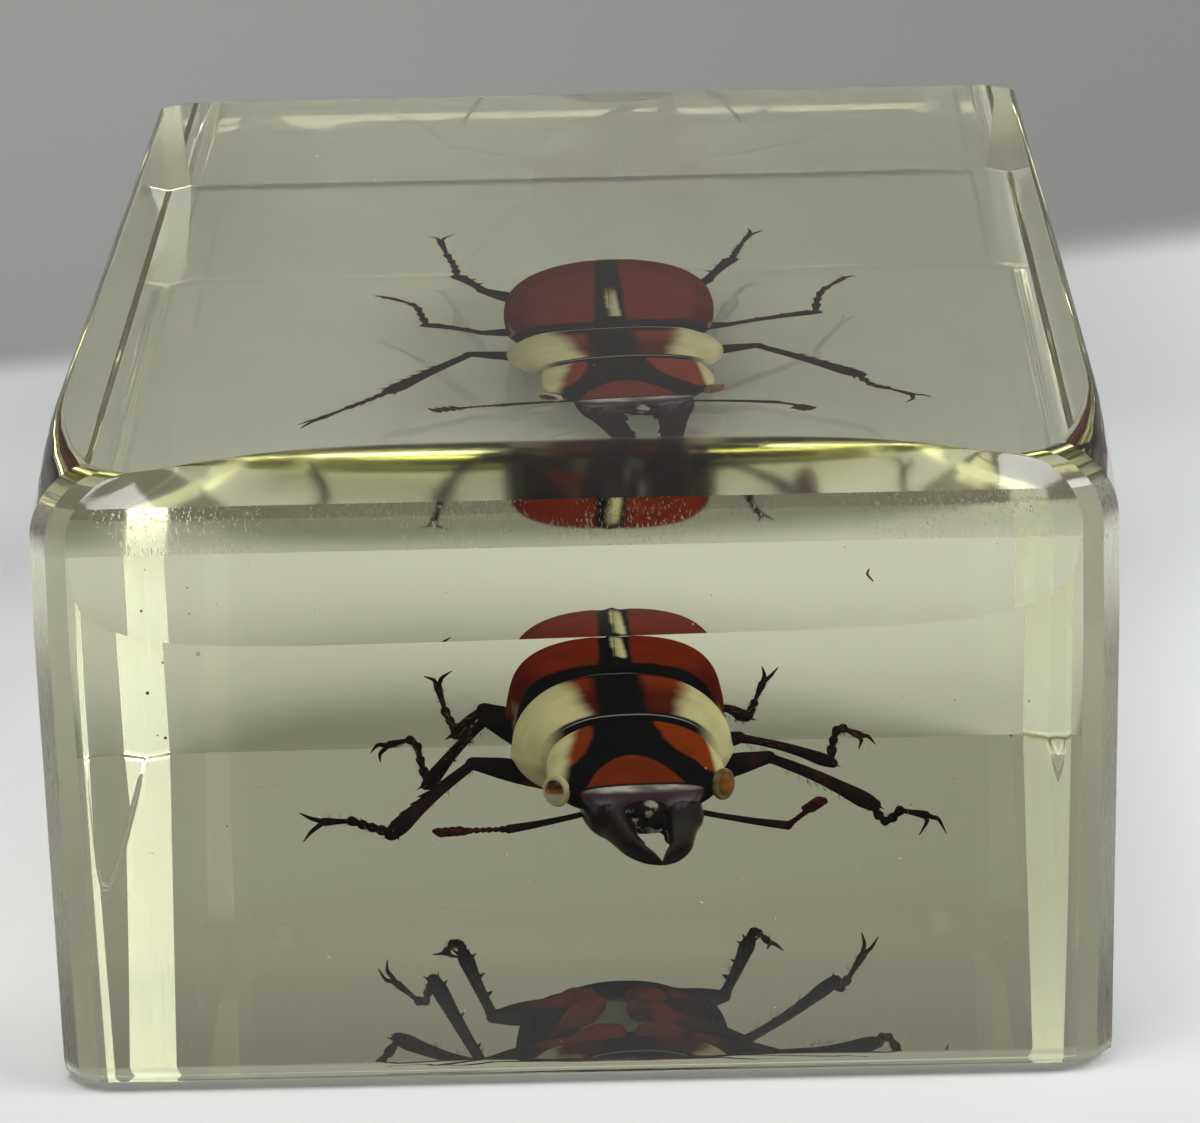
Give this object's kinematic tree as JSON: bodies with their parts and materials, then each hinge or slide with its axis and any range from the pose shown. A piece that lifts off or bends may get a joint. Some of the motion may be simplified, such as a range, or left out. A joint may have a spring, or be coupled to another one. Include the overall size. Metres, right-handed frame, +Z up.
{
  "type": "insect in resin block",
  "caption": "Clear rectangular resin block with a stag beetle sealed in it, mandibles forward and legs and antennae spread, on a flat base.",
  "frame": {"origin": "bottom centre of the block, on the surface that it stands on", "axes": "+X to the beetle's left, -Y ahead of its mandibles along the block's length, +Z up"},
  "size_m": [0.041, 0.073, 0.024],
  "materials": {
    "clear_resin": "polished clear casting resin with a faint yellow-olive tint, ground and scratched along the top front edge",
    "beetle_shell": "glossy dark red and black chitin"
  },
  "bodies": {
    "root": {"resin_lower_half": "clear_resin", "resin_upper_half": "clear_resin", "stag_beetle": "beetle_shell"}
  },
  "joints": []
}
